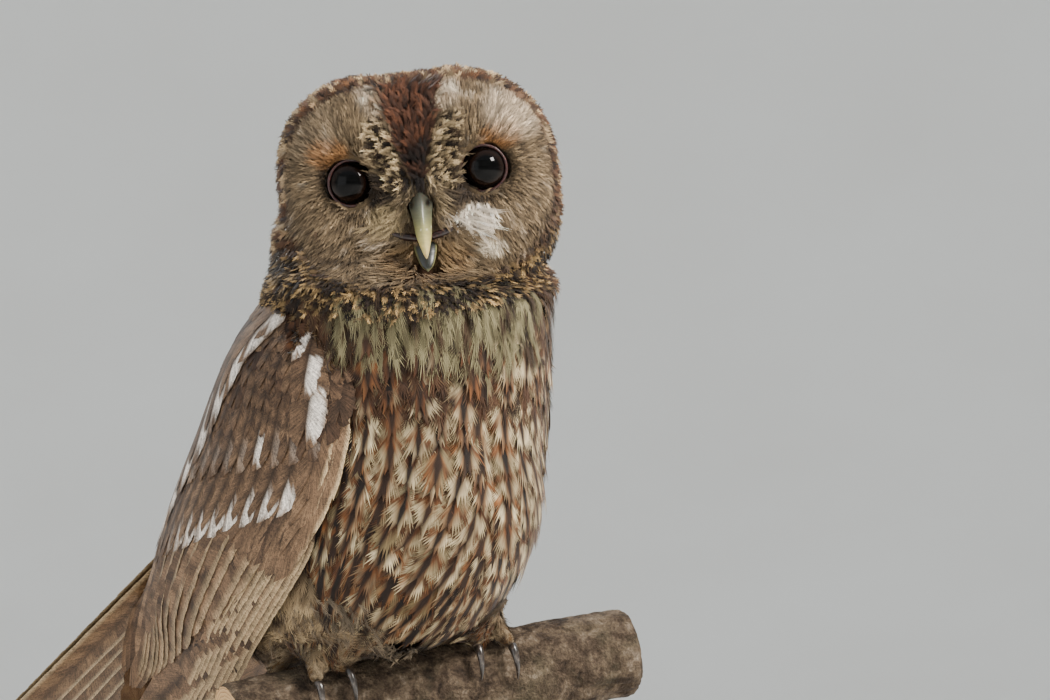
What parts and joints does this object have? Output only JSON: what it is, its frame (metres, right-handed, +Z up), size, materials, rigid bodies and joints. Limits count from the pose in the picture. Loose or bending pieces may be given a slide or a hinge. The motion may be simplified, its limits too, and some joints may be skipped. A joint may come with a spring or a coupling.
{
  "type": "tawny owl model",
  "caption": "Life-size tawny owl, wings folded and head turned to its right, gripping a cut length of branch held over a flat base by two rods.",
  "frame": {"origin": "centre of the underside of the display stand's base", "axes": "+Z up; the owl's breast faces -Y and its left side is at +X, and its face is turned 40 degrees from -Y towards -X"},
  "size_m": [0.1919, 0.2859, 0.3578],
  "materials": {
    "head_feather": "soft matt feathers, greyish brown with rufous crown and buff streaks",
    "breast_feather": "soft matt feathers, cream with dark brown shaft streaks and cross-barring",
    "wing_feather": "matt warm brown vaned feathers with cream spots and bars",
    "leg_feather": "short soft buff feathers, mottled brown",
    "eye": "wet gloss, near black with a dark brown iris",
    "bill_horn": "satin horn, grey-green at the base to yellow-olive at the tip",
    "claw_horn": "semi-gloss dark grey-brown horn",
    "bark": "rough grey-brown bark with flecks of green lichen",
    "rod_steel": "blackened steel, satin",
    "base_wood": "oiled walnut, satin"
  },
  "bodies": {
    "root": {"head": "head_feather", "neck": "breast_feather", "trunk": "breast_feather", "wing_left": "wing_feather", "wing_right": "wing_feather", "tail": "wing_feather", "leg_left": "leg_feather", "leg_right": "leg_feather", "foot_left": "leg_feather", "foot_right": "leg_feather", "eye_left": "eye", "eye_right": "eye", "bill_upper": "bill_horn", "bill_lower": "bill_horn", "claw_inner_left": "claw_horn", "claw_middle_left": "claw_horn", "claw_outer_left": "claw_horn", "claw_rear_left": "claw_horn", "claw_inner_right": "claw_horn", "claw_middle_right": "claw_horn", "claw_outer_right": "claw_horn", "claw_rear_right": "claw_horn", "perch_branch": "bark", "stand_base": "base_wood", "stand_rod_1": "rod_steel", "stand_rod_2": "rod_steel"}
  },
  "joints": []
}
